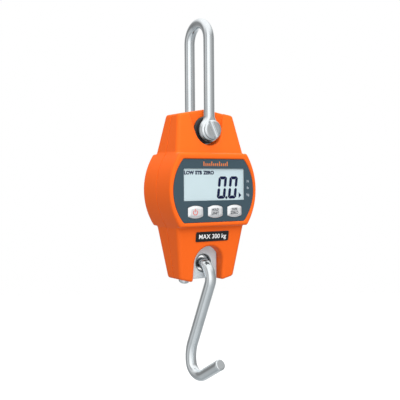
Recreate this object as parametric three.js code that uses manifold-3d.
// Hanging crane scale: a steel shackle and S-hook joined through a load cell, inside a moulded
// two-part housing with a display, three keys and a battery compartment.
// Millimetres, +Z up, the display faces -Y. The origin is the inner crown of the shackle bow,
// the point that the scale hangs from.
import * as THREE from 'three';
import { ConvexGeometry } from 'three/addons/geometries/ConvexGeometry.js';
import { mergeVertices } from 'three/addons/utils/BufferGeometryUtils.js';
import Module from 'manifold-3d';

const wasm = await Module();
wasm.setup();

// ---- driving dimensions ----
const ROD = 8; // shackle rod diameter
const LEG_Y = 13.7; // shackle leg centreline, in front of and behind the load line
const PIN_Z = -77.3; // shackle pin axis
const PIN_R = 4;
const PIN_END = 21;
const PIN_HEAD = { r: 7.2, rim: 5.9, height: 1.9, skirt: 1.1 };
const PIN_SLOT = { half: 1.5, depth: 1, tilt: 25 }; // screwdriver slot, turned from upright
const NUT_R = 7.2;
const EYE_R = 8.8;
const EYE_NECK = { halfX: 7, rise: 5, top: 10.4, topHalfX: 3.6 }; // forged web from eye to rod
const SPACER_R = 9.9;
const FIT = 0.15; // gap round the pin and between the parts on it

const ROOF = { peak: -61.4, edge: -65.6, halfX: 24.3, halfY: 10.2 };
const SHOULDER = { top: -95, bottom: -148, halfX: 29.4, halfY: 16.5 };
const FOOT = { edge: -187.4, peak: -193.4, halfX: 23.6, halfY: 10.5 };
const DRUM = { top: -94.7, bottom: -148.7, halfMid: 37.8, halfEnd: 29.4, halfY: 21 };
const DRUM_MID_Z = (DRUM.top + DRUM.bottom) / 2;
const EDGE_R = 3; // rounding of the trunk's upright edges
const WALL = 2.2;
const DRUM_WALL = 3; // the drum's front and back walls
const SEAM = 0.15; // half the parting line between the covers

const RECESS_R = 11.3; // recess round the shackle eye
const RECESS_TILT = 14; // degrees that its sides lean outwards
const RECESS_FLOOR_Y = 8.7;
const RECESS_WALL = 2;
const PIN_HOLE_R = 10.4; // opening in the recess floor
const SLOT = { half: 12.6, top: -163.6 }; // arch that the hook hangs in

const PLATE = { halfX: 12, halfY: 4, bottom: -188.6, chamfer: 1 }; // load cell bar
const GAUGE_HOLE = { r: 5.5, offset: 9, slit: 1.2 }; // two bores joined by a slit, where it flexes
const SEAL = { halfX: 9, halfZ: 17, thick: 0.8 };
const HOOK_EYE_Z = -177;
const BUSH = { outer: 6.8, bore: 5.4, flare: 6.4, flareFrom: 1.4 };

const HOOK_ROD = 8.5;
const HOOK_TURN = 10; // degrees that the free-hanging hook is turned about the load line
const HOOK_TOP_Z = -177.05; // rod centre at the eye
const HOOK_BACK_R = 20.2;
const HOOK_BACK_END = 6.5; // degrees above level where the back bend stops
const HOOK_FRONT_R = 11.1;
const SHANK_SLANT = 23;
const SHANK_LENGTH = 51.3;
const BOWL = { upperR: 29, lowerR: 9.6, change: -9 }; // two bends that meet at that angle
const TIP_RISE = 31;
const TIP_LENGTH = 21.8;

const PANEL = { top: -99.2, bottom: -145.3, halfMid: 34.9, halfEnd: 26.3 };
const PANEL_Y = [-20.4, -19.6];
const WINDOW = { x: 0.2, z: -117.8, width: 52.6, height: 23 };
const KEY = { z: -137.7, pitch: 17.1, x: 0.5, width: 12.9, height: 9.2, side: 3.1, travel: 0.8 };
const KEY_NAMES = ['power_key', 'hold_key', 'tare_key'];
const LABEL = { x: 0.8, z: -156.2, width: 28.7, height: 7.4, thick: 0.4 };
const LCD = { x: [-27.4, 27.8], y: [-17.7, -15.1], z: [-130.6, -105] };
const BACKLIGHT = { x: [-26, 26.4], y: [-14.9, -12.5], z: [-127.4, -108.2] };
const ZEBRA = { x: [-25, 25.4], y: [-14.9, -12.4], upper: [-107.6, -105.4], lower: [-130.2, -128] };

const CELL_R = 5.1; // AAA cell
const CELL_LENGTH = 43.6;
const CELL_PITCH = 11.3;
const CELL_Y = 12.4;
const CELL_SHIFT = 1.4; // towards the end without the spring
const SPRING = { turns: 3.5, wide: 3.2, narrow: 2.1, foot: 24.5, length: 2.9, wire: 0.3 };
const CONTACT = { near: 24.9, far: 25.4, halfY: 4, halfZ: 16.5 };
const TRAY = { halfX: 25.6, halfZ: 17.6, wall: 1.4, floor: 6.9 };
const DOOR = { halfX: 26, halfZ: 18.1, thick: 2, gap: 0.3 };

const BOARD = { halfX: 29.3, top: -99.2, bottom: -143.6, y: [-12.2, -10.6] };
const CHIP = { x: [-5, 5], y: [-10.5, -9.2], z: [-137, -127] };
const BUZZER = { x: 20.5, z: -131, r: 4.5, y: [-10.5, -7.2] };
const BOARD_POSTS = [[-25.5, -101.7], [25.5, -101.7], [-27.4, -141.4], [27.4, -141.4]];
const CASE_POSTS = [[-20.5, -88.5], [20.5, -88.5], [-19, -170], [19, -170]];
const CELL_POSTS = { cell_screw_upper: [0, -98.6], cell_screw_lower: [0, -144.8] };
const CELL_SCREW = { headY: -6.1, headR: 2.6, headH: 2, shankR: 1.3, length: 16, inward: 1 };
const BOARD_SCREW = { headY: -8.9, headR: 2.2, headH: 1.6, shankR: 1, length: 5.5, inward: -1 };
const CASE_SCREW = { headY: 7.2, headR: 2.5, headH: 2, shankR: 1.3, length: 11, inward: -1 };
const LEADS = {
  gauge_cable: {
    radius: 0.9,
    points: [[6, -5.95, -112], [10, -6.3, -113.5], [15.5, -7.4, -115], [17, -8.6, -116], [17, -10.45, -116]],
  },
  battery_lead_red: {
    radius: 0.7,
    points: [[28.4, 8, -118], [29.4, 2, -117], [27, -6, -116.5], [24.5, -8.6, -116], [24, -10.4, -116]],
  },
  battery_lead_black: {
    radius: 0.7,
    points: [[28.4, 8, -124], [29.4, 2, -124.5], [27, -6, -125], [24.5, -8.6, -125], [24, -10.4, -125]],
  },
};

const rad = THREE.MathUtils.degToRad;
const scale = new THREE.Group();

// ---- helpers: a closed geometry to a solid and back ----
function solid(geometry) {
  const bare = geometry.clone();
  bare.deleteAttribute('normal');
  bare.deleteAttribute('uv');
  const merged = mergeVertices(bare, 1e-4);
  return new wasm.Manifold(new wasm.Mesh({
    numProp: 3,
    vertProperties: new Float32Array(merged.attributes.position.array),
    triVerts: new Uint32Array(merged.index.array),
  }));
}

function geometryOf(body) {
  const { vertProperties, triVerts } = body.getMesh();
  const geometry = new THREE.BufferGeometry();
  geometry.setAttribute('position', new THREE.BufferAttribute(new Float32Array(vertProperties), 3));
  geometry.setIndex(new THREE.BufferAttribute(new Uint32Array(triVerts), 1));
  geometry.computeVertexNormals();
  return geometry;
}

function add(name, shape, material) {
  const geometry = shape.isBufferGeometry ? shape : geometryOf(shape);
  const mesh = new THREE.Mesh(geometry, material);
  mesh.name = name;
  scale.add(mesh);
  return mesh;
}

// ---- helpers: basic solids ----
function box([x0, x1], [y0, y1], [z0, z1]) {
  const geometry = new THREE.BoxGeometry(x1 - x0, y1 - y0, z1 - z0);
  geometry.translate((x0 + x1) / 2, (y0 + y1) / 2, (z0 + z1) / 2);
  return solid(geometry);
}

// An outline in the XZ plane, carried along Y from y0 to y1.
function prism(shape, y0, y1, { segments = 6, bevel = 0 } = {}) {
  const geometry = new THREE.ExtrudeGeometry(shape, {
    depth: y1 - y0 - 2 * bevel,
    curveSegments: segments,
    bevelEnabled: bevel > 0,
    bevelThickness: bevel,
    bevelSize: bevel,
    bevelOffset: -bevel,
    bevelSegments: 1,
  });
  geometry.rotateX(Math.PI / 2);
  geometry.translate(0, y1 - bevel, 0);
  return solid(geometry);
}

function cylinderY(x, z, r, y0, y1, sides = 24) {
  const geometry = new THREE.CylinderGeometry(r, r, y1 - y0, sides);
  geometry.translate(x, (y0 + y1) / 2, z);
  return solid(geometry);
}

// A profile of [radius, y] points turned about an axis along Y through (x, z).
function latheY(profile, x, z, sides = 32) {
  const points = profile.map(([r, y]) => new THREE.Vector2(r, y));
  const geometry = new THREE.LatheGeometry(points, sides);
  geometry.translate(x, 0, z);
  return solid(geometry);
}

function tube(path, radius, steps, sides) {
  const section = new THREE.Shape();
  for (let i = 0; i < sides; i += 1) {
    const a = (i / sides) * 2 * Math.PI;
    section[i ? 'lineTo' : 'moveTo'](radius * Math.cos(a), radius * Math.sin(a));
  }
  section.closePath();
  return new THREE.ExtrudeGeometry(section, { steps, extrudePath: path, curveSegments: 1 });
}

// ---- housing outlines ----
// Flat top and bottom, and sides that are arcs through halfEnd at the corners and halfMid between.
function barrelShape({ top, bottom, halfMid, halfEnd }, inset = 0) {
  const rise = (top - bottom) / 2;
  const bulge = halfMid - halfEnd;
  const arcR = (rise * rise + bulge * bulge) / (2 * bulge);
  const centre = halfMid - arcR;
  const mid = (top + bottom) / 2;
  const a = Math.asin((rise - inset) / (arcR - inset));
  const shape = new THREE.Shape();
  shape.absarc(centre, mid, arcR - inset, -a, a);
  shape.absarc(-centre, mid, arcR - inset, Math.PI - a, Math.PI + a);
  shape.closePath();
  return shape;
}

function ring(halfX, halfY, z, r) {
  const points = [];
  for (let i = 0; i < 4; i += 1) {
    const [sx, sy] = [[1, 1], [-1, 1], [-1, -1], [1, -1]][i];
    for (let k = 0; k <= 3; k += 1) {
      const a = rad(90 * i + 30 * k);
      points.push(new THREE.Vector3(
        sx * (halfX - r) + r * Math.cos(a), sy * (halfY - r) + r * Math.sin(a), z));
    }
  }
  return points;
}

// One tapering half of the body, from the shoulder out to its gabled end.
function trunk(wide, end, inset) {
  const out = Math.sign(end.peak - end.edge);
  const level = (z) => {
    const t = (z - wide) / (end.edge - wide);
    return [SHOULDER.halfX + t * (end.halfX - SHOULDER.halfX) - inset,
      SHOULDER.halfY + t * (end.halfY - SHOULDER.halfY) - inset];
  };
  const start = wide - 6 * out;
  const edge = end.edge - inset * out;
  const peak = end.peak - inset * out;
  const r = Math.max(EDGE_R - inset, 0.6);
  const points = [...ring(...level(start), start, r), ...ring(...level(edge), edge, r)];
  for (const side of [-1, 1]) {
    points.push(new THREE.Vector3(0, side * level(peak)[1], peak));
  }
  return solid(new ConvexGeometry(points));
}

function bodyBlock(inset = 0) {
  const depth = DRUM.halfY - (inset ? DRUM_WALL : 0);
  const drum = prism(barrelShape(DRUM, inset), -depth, depth, { segments: 10, bevel: inset ? 0 : 1.4 });
  return drum.add(trunk(SHOULDER.top, ROOF, inset)).add(trunk(SHOULDER.bottom, FOOT, inset));
}

// U-shaped recess for a shackle leg and its eye, open at the roof.
function recessShape(grow = 0) {
  const tilt = rad(RECESS_TILT);
  const r = RECESS_R + grow;
  const height = ROOF.peak + 3 - PIN_Z;
  const topX = r * Math.cos(tilt) + (height + r * Math.sin(tilt)) * Math.tan(tilt);
  const shape = new THREE.Shape();
  shape.absarc(0, PIN_Z, r, Math.PI + tilt, 2 * Math.PI - tilt);
  shape.lineTo(topX, PIN_Z + height);
  shape.lineTo(-topX, PIN_Z + height);
  shape.closePath();
  return shape;
}

function slotShape(grow = 0) {
  const half = SLOT.half + grow;
  const shape = new THREE.Shape();
  shape.moveTo(-half, FOOT.peak - 3);
  shape.lineTo(half, FOOT.peak - 3);
  shape.absarc(0, SLOT.top - SLOT.half, half, 0, Math.PI);
  shape.closePath();
  return shape;
}

// The range between two distances from the middle, on the negative (-1) or positive (+1) side.
const span = (side, near, far) => (side < 0 ? [-far, -near] : [near, far]);

function coverShell(side) {
  const recessLining = prism(recessShape(RECESS_WALL), ...span(side, RECESS_FLOOR_Y - RECESS_WALL, 30));
  const slotLining = prism(slotShape(RECESS_WALL), -30, 30);
  const hollow = bodyBlock(WALL).subtract(recessLining).subtract(slotLining);
  return bodyBlock()
    .intersect(box([-60, 60], span(side, SEAM, 40), [-200, -50]))
    .subtract(hollow)
    .subtract(prism(recessShape(), ...span(side, RECESS_FLOOR_Y, 30)))
    .subtract(cylinderY(0, PIN_Z, PIN_HOLE_R, ...span(side, 4, 12), 28))
    .subtract(prism(slotShape(), -30, 30))
    .subtract(box([-SLOT.half, SLOT.half], [-5, 5], [-200, SLOT.top + 4]));
}

function post([x, z], r, side, near) {
  return cylinderY(x, z, r, ...span(side, near, 30), 16).intersect(bodyBlock(WALL / 2));
}

const keyX = (i) => KEY.x + (i - 1) * KEY.pitch;

// ---- covers ----
function makeFrontCover() {
  let cover = coverShell(-1);
  for (const at of CASE_POSTS) {
    cover = cover.add(post(at, 3, -1, SEAM)).subtract(cylinderY(...at, 1.6, -8, 1, 12));
  }
  for (const at of BOARD_POSTS) {
    cover = cover.add(post(at, 2.4, -1, 12.4)).subtract(cylinderY(...at, 1.25, -17, -12, 12));
  }
  const pocket = prism(barrelShape(PANEL, -0.25), -25, PANEL_Y[1] + 0.2);
  const window = box(
    [WINDOW.x - WINDOW.width / 2 - 0.7, WINDOW.x + WINDOW.width / 2 + 0.7], [-22, -17],
    [WINDOW.z - WINDOW.height / 2 - 0.5, WINDOW.z + WINDOW.height / 2 + 0.5]);
  cover = cover.subtract(pocket).subtract(window);
  for (let i = 0; i < 3; i += 1) {
    cover = cover.subtract(prism(keyOutline(i, 0.35), -22, -17, { segments: 4 }));
  }
  return cover;
}

function makeRearCover() {
  const { halfX, halfZ, wall, floor } = TRAY;
  const tray = box([-halfX - wall, halfX + wall], [floor - wall, DRUM.halfY - DRUM_WALL + 0.5],
    [DRUM_MID_Z - halfZ - wall, DRUM_MID_Z + halfZ + wall]);
  let cover = coverShell(1).add(tray)
    .subtract(box([-halfX, halfX], [floor, 22], [DRUM_MID_Z - halfZ, DRUM_MID_Z + halfZ]));
  const opening = [DOOR.halfX + DOOR.gap, DOOR.halfZ + DOOR.gap];
  cover = cover.subtract(box([-opening[0], opening[0]], [DRUM.halfY - DOOR.thick - 0.2, 22],
    [DRUM_MID_Z - opening[1], DRUM_MID_Z + opening[1]]));
  for (const at of CASE_POSTS) {
    cover = cover.add(post(at, 3.7, 1, SEAM)).subtract(cylinderY(...at, 1.7, -1, 6, 12));
    cover = cover.subtract(cylinderY(...at, 2.9, 5, 25, 16));
  }
  for (const at of Object.values(CELL_POSTS)) {
    cover = cover.add(post(at, 3, 1, PLATE.halfY + 0.3)).subtract(cylinderY(...at, 1.6, 3, 15, 12));
  }
  return cover;
}

// ---- shackle, pin and load cell ----
class Arc extends THREE.Curve {
  // A circular arc in the plane of two unit vectors, from angle a0 to a1.
  constructor(centre, radius, u, v, a0, a1) {
    super();
    Object.assign(this, { centre, radius, u, v, a0, a1 });
  }

  getPoint(t, target = new THREE.Vector3()) {
    const a = this.a0 + t * (this.a1 - this.a0);
    return target.copy(this.centre)
      .addScaledVector(this.u, this.radius * Math.cos(a))
      .addScaledVector(this.v, this.radius * Math.sin(a));
  }
}

function makeShackle() {
  const crown = ROD / 2 - LEG_Y; // bow centre height
  const eyeTop = PIN_Z + 4;
  const [y, z] = [new THREE.Vector3(0, 1, 0), new THREE.Vector3(0, 0, 1)];
  const bow = new THREE.CurvePath();
  bow.add(new THREE.LineCurve3(new THREE.Vector3(0, -LEG_Y, eyeTop), new THREE.Vector3(0, -LEG_Y, crown)));
  bow.add(new Arc(new THREE.Vector3(0, 0, crown), LEG_Y, y, z, Math.PI, 0));
  bow.add(new THREE.LineCurve3(new THREE.Vector3(0, LEG_Y, crown), new THREE.Vector3(0, LEG_Y, eyeTop)));
  let shackle = solid(tube(bow, ROD / 2, 40, 12));
  for (const side of [-1, 1]) {
    const eye = [LEG_Y - ROD / 2 + 0.1, LEG_Y + ROD / 2 - 0.1];
    const neck = new THREE.Shape();
    neck.moveTo(-EYE_NECK.halfX, PIN_Z + EYE_NECK.rise);
    neck.lineTo(EYE_NECK.halfX, PIN_Z + EYE_NECK.rise);
    neck.lineTo(EYE_NECK.topHalfX, PIN_Z + EYE_NECK.top);
    neck.lineTo(-EYE_NECK.topHalfX, PIN_Z + EYE_NECK.top);
    neck.closePath();
    shackle = shackle
      .add(prism(neck, ...span(side, LEG_Y - 3, LEG_Y + 3)))
      .add(cylinderY(0, PIN_Z, EYE_R, ...span(side, ...eye), 28))
      .subtract(cylinderY(0, PIN_Z, PIN_R + FIT, ...span(side, 5, 25), 28));
  }
  return shackle;
}

function makePin() {
  const { r, rim, height, skirt } = PIN_HEAD;
  const seat = -LEG_Y - ROD / 2 - FIT;
  const face = seat - height;
  const profile = [[0, face], [rim, face], [r - 0.1, seat - skirt], [r, seat],
    [PIN_R, seat], [PIN_R, PIN_END - 0.4], [PIN_R - 0.5, PIN_END], [0, PIN_END]];
  const slot = box([-PIN_SLOT.half, PIN_SLOT.half], [face - 1, face + PIN_SLOT.depth], [-9, 9])
    .rotate([0, -PIN_SLOT.tilt, 0])
    .translate([0, 0, PIN_Z]);
  return latheY(profile, 0, PIN_Z, 28).subtract(slot);
}

function makeNut() {
  const hexagon = new THREE.Shape();
  for (let i = 0; i < 6; i += 1) {
    const a = rad(60 * i + 30);
    hexagon[i ? 'lineTo' : 'moveTo'](NUT_R * Math.cos(a), PIN_Z + NUT_R * Math.sin(a));
  }
  hexagon.closePath();
  return prism(hexagon, LEG_Y + ROD / 2 + FIT, PIN_END - 0.1)
    .subtract(cylinderY(0, PIN_Z, PIN_R + FIT, 15, 25, 28));
}

function spacer(side) {
  const reach = span(side, PLATE.halfY + FIT, LEG_Y - ROD / 2 - FIT);
  return cylinderY(0, PIN_Z, SPACER_R, ...reach, 28)
    .subtract(cylinderY(0, PIN_Z, PIN_R + FIT, ...span(side, 3, 12), 28));
}

function makeLoadCell() {
  const outline = new THREE.Shape();
  const { halfX, halfY, bottom, chamfer } = PLATE;
  outline.moveTo(-halfX, bottom + chamfer);
  outline.lineTo(-halfX + chamfer, bottom);
  outline.lineTo(halfX - chamfer, bottom);
  outline.lineTo(halfX, bottom + chamfer);
  outline.absarc(0, PIN_Z, halfX, 0, Math.PI);
  outline.closePath();
  const gaugeZ = [DRUM_MID_Z - GAUGE_HOLE.offset, DRUM_MID_Z + GAUGE_HOLE.offset];
  let bar = prism(outline, -halfY, halfY, { segments: 14 })
    .subtract(cylinderY(0, PIN_Z, PIN_R + FIT, -10, 10, 28))
    .subtract(cylinderY(0, HOOK_EYE_Z, BUSH.outer + FIT, -10, 10, 32))
    .subtract(box([-GAUGE_HOLE.slit, GAUGE_HOLE.slit], [-10, 10], gaugeZ));
  for (const z of gaugeZ) {
    bar = bar.subtract(cylinderY(0, z, GAUGE_HOLE.r, -10, 10, 20));
  }
  for (const at of Object.values(CELL_POSTS)) {
    bar = bar.subtract(cylinderY(...at, 1.7, -10, 10, 12));
  }
  return bar;
}

function makeBush() {
  const { outer, bore, flare, flareFrom } = BUSH;
  const y = PLATE.halfY;
  const profile = [[bore, -flareFrom], [flare, -y], [outer, -y], [outer, y], [flare, y], [bore, flareFrom],
    [bore, -flareFrom]];
  return latheY(profile, 0, HOOK_EYE_Z, 32);
}

// ---- hook: one bent rod in the plane of the load line ----
function makeHook() {
  const along = new THREE.Vector3(-Math.sin(rad(HOOK_TURN)), Math.cos(rad(HOOK_TURN)), 0);
  const up = new THREE.Vector3(0, 0, 1);
  const at = (s, z) => new THREE.Vector3().addScaledVector(along, s).addScaledVector(up, z);
  const slant = rad(SHANK_SLANT);
  const path = new THREE.CurvePath();

  const back = at(0, HOOK_TOP_Z - HOOK_BACK_R);
  path.add(new Arc(back, HOOK_BACK_R, along, up, rad(HOOK_BACK_END), Math.PI / 2));
  const front = at(0, HOOK_TOP_Z - HOOK_FRONT_R);
  const bend = new Arc(front, HOOK_FRONT_R, along, up, Math.PI / 2, Math.PI + slant);
  path.add(bend);
  const shankTop = bend.getPoint(1);
  const down = at(Math.sin(slant), -Math.cos(slant));
  const shankFoot = shankTop.clone().addScaledVector(down, SHANK_LENGTH);
  path.add(new THREE.LineCurve3(shankTop, shankFoot));
  const outward = (angle) => at(Math.cos(angle), Math.sin(angle));
  const change = rad(BOWL.change);
  const upperCentre = shankFoot.clone().addScaledVector(outward(slant), -BOWL.upperR);
  const upper = new Arc(upperCentre, BOWL.upperR, along, up, slant, change);
  path.add(upper);
  const lowerCentre = upper.getPoint(1).addScaledVector(outward(change), -BOWL.lowerR);
  const lower = new Arc(lowerCentre, BOWL.lowerR, along, up, change, -Math.PI / 2 - rad(TIP_RISE));
  path.add(lower);
  const tipStart = lower.getPoint(1);
  const forward = at(-Math.cos(rad(TIP_RISE)), Math.sin(rad(TIP_RISE)));
  path.add(new THREE.LineCurve3(tipStart, tipStart.clone().addScaledVector(forward, TIP_LENGTH)));
  return tube(path, HOOK_ROD / 2, 44, 12);
}

// ---- display, keys and board ----
// Key caps have short straight sides and arched tops and bottoms.
function keyOutline(i, grow = 0) {
  const half = KEY.width / 2;
  const rise = KEY.height / 2 - KEY.side;
  const arcR = (half * half + rise * rise) / (2 * rise);
  const centre = KEY.height / 2 - arcR;
  const a = Math.asin(half / arcR);
  const shape = new THREE.Shape();
  shape.absarc(keyX(i), KEY.z + centre, arcR + grow, Math.PI / 2 - a, Math.PI / 2 + a);
  shape.absarc(keyX(i), KEY.z - centre, arcR + grow, 1.5 * Math.PI - a, 1.5 * Math.PI + a);
  shape.closePath();
  return shape;
}

function makePanel() {
  let panel = prism(barrelShape(PANEL), ...PANEL_Y);
  panel = panel.subtract(box(
    [WINDOW.x - WINDOW.width / 2 - 0.15, WINDOW.x + WINDOW.width / 2 + 0.15], [-22, -17],
    [WINDOW.z - WINDOW.height / 2 - 0.15, WINDOW.z + WINDOW.height / 2 + 0.15]));
  for (let i = 0; i < 3; i += 1) {
    panel = panel.subtract(prism(keyOutline(i, 0.25), -22, -17, { segments: 4 }));
  }
  return panel;
}

function makeKey(i) {
  const cap = prism(keyOutline(i), -21.6, -17.5, { segments: 4, bevel: 0.9 });
  const flange = prism(keyOutline(i, 0.7), -17.8, -17, { segments: 4 });
  return cap.add(flange);
}

function makeSwitch(i) {
  const x = keyX(i);
  return box([x - 3, x + 3], [-15, BOARD.y[0] - 0.1], [KEY.z - 3, KEY.z + 3])
    .add(cylinderY(x, KEY.z, 1.7, -17 + KEY.travel + 0.3, -14.5, 16));
}

function makeBoard() {
  let board = box([-BOARD.halfX, BOARD.halfX], BOARD.y, [BOARD.bottom, BOARD.top]);
  for (const at of BOARD_POSTS) {
    board = board.subtract(cylinderY(...at, 1.3, -13, -10, 12));
  }
  return board;
}

// A headed screw along Y; the head's free face is at headY and the shank points inward (+1 or -1).
function screw([x, z], { headY, headR, headH, shankR, length, inward }) {
  const between = (near, far) => [near, far].map((d) => headY + inward * d).sort((a, b) => a - b);
  const head = cylinderY(x, z, headR, ...between(0, headH), 16);
  const shank = cylinderY(x, z, shankR, ...between(0, headH + length), 10);
  const drive = box([x - headR * 0.6, x + headR * 0.6], between(-1, headH / 2), [z - 0.35, z + 0.35]);
  return head.add(shank).subtract(drive);
}

// ---- battery compartment ----
const cellZ = (i) => DRUM_MID_Z + (1 - i) * CELL_PITCH;
const springSide = (i) => (i === 1 ? 1 : -1);

function makeBatteryCell(i) {
  const side = springSide(i);
  const half = CELL_LENGTH / 2;
  const profile = [[0, -half], [CELL_R - 0.6, -half], [CELL_R, -half + 0.6], [CELL_R, half - 0.8],
    [CELL_R - 0.8, half], [1.9, half], [1.9, half + 0.8], [0, half + 0.8]];
  const points = profile.map(([r, y]) => new THREE.Vector2(r, y));
  const geometry = new THREE.LatheGeometry(points, 20);
  geometry.rotateZ(side * Math.PI / 2);
  geometry.translate(-side * CELL_SHIFT, CELL_Y, cellZ(i));
  return geometry;
}

function makeSpring(i) {
  const side = springSide(i);
  const { turns, wide, narrow, foot, length, wire } = SPRING;
  class Coil extends THREE.Curve {
    getPoint(t, target = new THREE.Vector3()) {
      const a = t * turns * 2 * Math.PI;
      const r = wide + (narrow - wide) * t;
      return target.set(
        side * (foot - length * t), CELL_Y + r * Math.cos(a), cellZ(i) + r * Math.sin(a));
    }
  }
  return tube(new Coil(), wire, 26, 4);
}

function contactStrip(side) {
  const { near, far, halfY, halfZ } = CONTACT;
  return box(span(side, near, far), [CELL_Y - halfY, CELL_Y + halfY],
    [DRUM_MID_Z - halfZ, DRUM_MID_Z + halfZ]);
}

function makeDoor() {
  const bottom = DRUM_MID_Z - DOOR.halfZ;
  const r = DOOR.thick / 2;
  const y = [DRUM.halfY - DOOR.thick, DRUM.halfY];
  const plate = box([-DOOR.halfX, DOOR.halfX], y, [bottom + r, DRUM_MID_Z + DOOR.halfZ]);
  const knuckle = new THREE.CylinderGeometry(r, r, 2 * DOOR.halfX, 16);
  knuckle.rotateZ(Math.PI / 2);
  knuckle.translate(0, DRUM.halfY - r, bottom + r);
  return plate.add(solid(knuckle));
}

function lead({ points, radius }) {
  const path = new THREE.CatmullRomCurve3(points.map((p) => new THREE.Vector3(...p)));
  return tube(path, radius, 8, 6);
}

// ---- materials ----
const paint = (color, roughness, metalness = 0) =>
  new THREE.MeshStandardMaterial({ color, roughness, metalness });
const orange = paint(0xe8601f, 0.45);
const zinc = paint(0xc9ced2, 0.28, 1);
const alloy = paint(0xb8c0c6, 0.4, 1);
const slate = paint(0x404f5a, 0.5);
const silver = paint(0xd9dcde, 0.3, 0.6);
const black = paint(0x151515, 0.5);
const clear = paint(0xdfe8ea, 0.08);
const liquid = paint(0xcfdcdc, 0.2);
const milk = paint(0xe8ece8, 0.5);
const board = paint(0x1f6b3c, 0.55);
const steel = paint(0x8e9296, 0.35, 1);
const jacket = paint(0x2a3c88, 0.35);
const brass = paint(0xb89a50, 0.35, 1);
const red = paint(0xb01c1c, 0.5);
const sealant = paint(0xeceae2, 0.7);

// ---- assembly ----
add('shackle', makeShackle(), zinc);
add('shackle_pin', makePin(), zinc);
add('shackle_nut', makeNut(), zinc);
add('pin_spacer_front', spacer(-1), black);
add('pin_spacer_rear', spacer(1), black);

add('front_cover', makeFrontCover(), orange);
add('rear_cover', makeRearCover(), orange);
add('load_cell', makeLoadCell(), alloy);
for (const side of [-1, 1]) {
  const name = side < 0 ? 'gauge_seal_front' : 'gauge_seal_rear';
  const range = span(side, PLATE.halfY + 0.1, PLATE.halfY + 0.1 + SEAL.thick);
  add(name, box([-SEAL.halfX, SEAL.halfX], range,
    [DRUM_MID_Z - SEAL.halfZ, DRUM_MID_Z + SEAL.halfZ]), sealant);
}
for (const [name, at] of Object.entries(CELL_POSTS)) {
  add(name, screw(at, CELL_SCREW), steel);
}

add('face_panel', makePanel(), slate);
add('display_lens', box(
  [WINDOW.x - WINDOW.width / 2, WINDOW.x + WINDOW.width / 2], PANEL_Y,
  [WINDOW.z - WINDOW.height / 2, WINDOW.z + WINDOW.height / 2]), clear);
add('lcd_glass', box(LCD.x, LCD.y, LCD.z), liquid);
add('backlight_plate', box(BACKLIGHT.x, BACKLIGHT.y, BACKLIGHT.z), milk);
add('zebra_strip_upper', box(ZEBRA.x, ZEBRA.y, ZEBRA.upper), black);
add('zebra_strip_lower', box(ZEBRA.x, ZEBRA.y, ZEBRA.lower), black);
KEY_NAMES.forEach((name, i) => add(name, makeKey(i), silver));
KEY_NAMES.forEach((name, i) => add(name.replace('key', 'switch'), makeSwitch(i), black));
add('main_board', makeBoard(), board);
BOARD_POSTS.forEach((at, i) => add(`board_screw_${i + 1}`, screw(at, BOARD_SCREW), steel));
add('controller_chip', box(CHIP.x, CHIP.y, CHIP.z), black);
add('buzzer', cylinderY(BUZZER.x, BUZZER.z, BUZZER.r, ...BUZZER.y, 20), black);
add('capacity_label', box(
  [LABEL.x - LABEL.width / 2, LABEL.x + LABEL.width / 2], [-LABEL.thick, 0],
  [-LABEL.height / 2, LABEL.height / 2]), black);

add('battery_door', makeDoor(), orange);
for (let i = 0; i < 3; i += 1) {
  add(`battery_cell_${i + 1}`, makeBatteryCell(i), jacket);
  add(`battery_spring_${i + 1}`, makeSpring(i), steel);
}
add('contact_strip_left', contactStrip(-1), brass);
add('contact_strip_right', contactStrip(1), brass);
CASE_POSTS.forEach((at, i) => add(`case_screw_${i + 1}`, screw(at, CASE_SCREW), steel));

add('gauge_cable', lead(LEADS.gauge_cable), sealant);
add('battery_lead_red', lead(LEADS.battery_lead_red), red);
add('battery_lead_black', lead(LEADS.battery_lead_black), black);

add('eye_bush', makeBush(), zinc);
add('hook', makeHook(), zinc);

// The label lies on the sloping front face below the drum.
const slope = Math.atan2(SHOULDER.halfY - FOOT.halfY, SHOULDER.bottom - FOOT.edge);
const label = scale.getObjectByName('capacity_label');
const faceY = SHOULDER.halfY - (SHOULDER.bottom - LABEL.z) * Math.tan(slope);
label.rotation.x = slope;
label.position.set(0, -faceY - 0.1, LABEL.z);

export default scale;
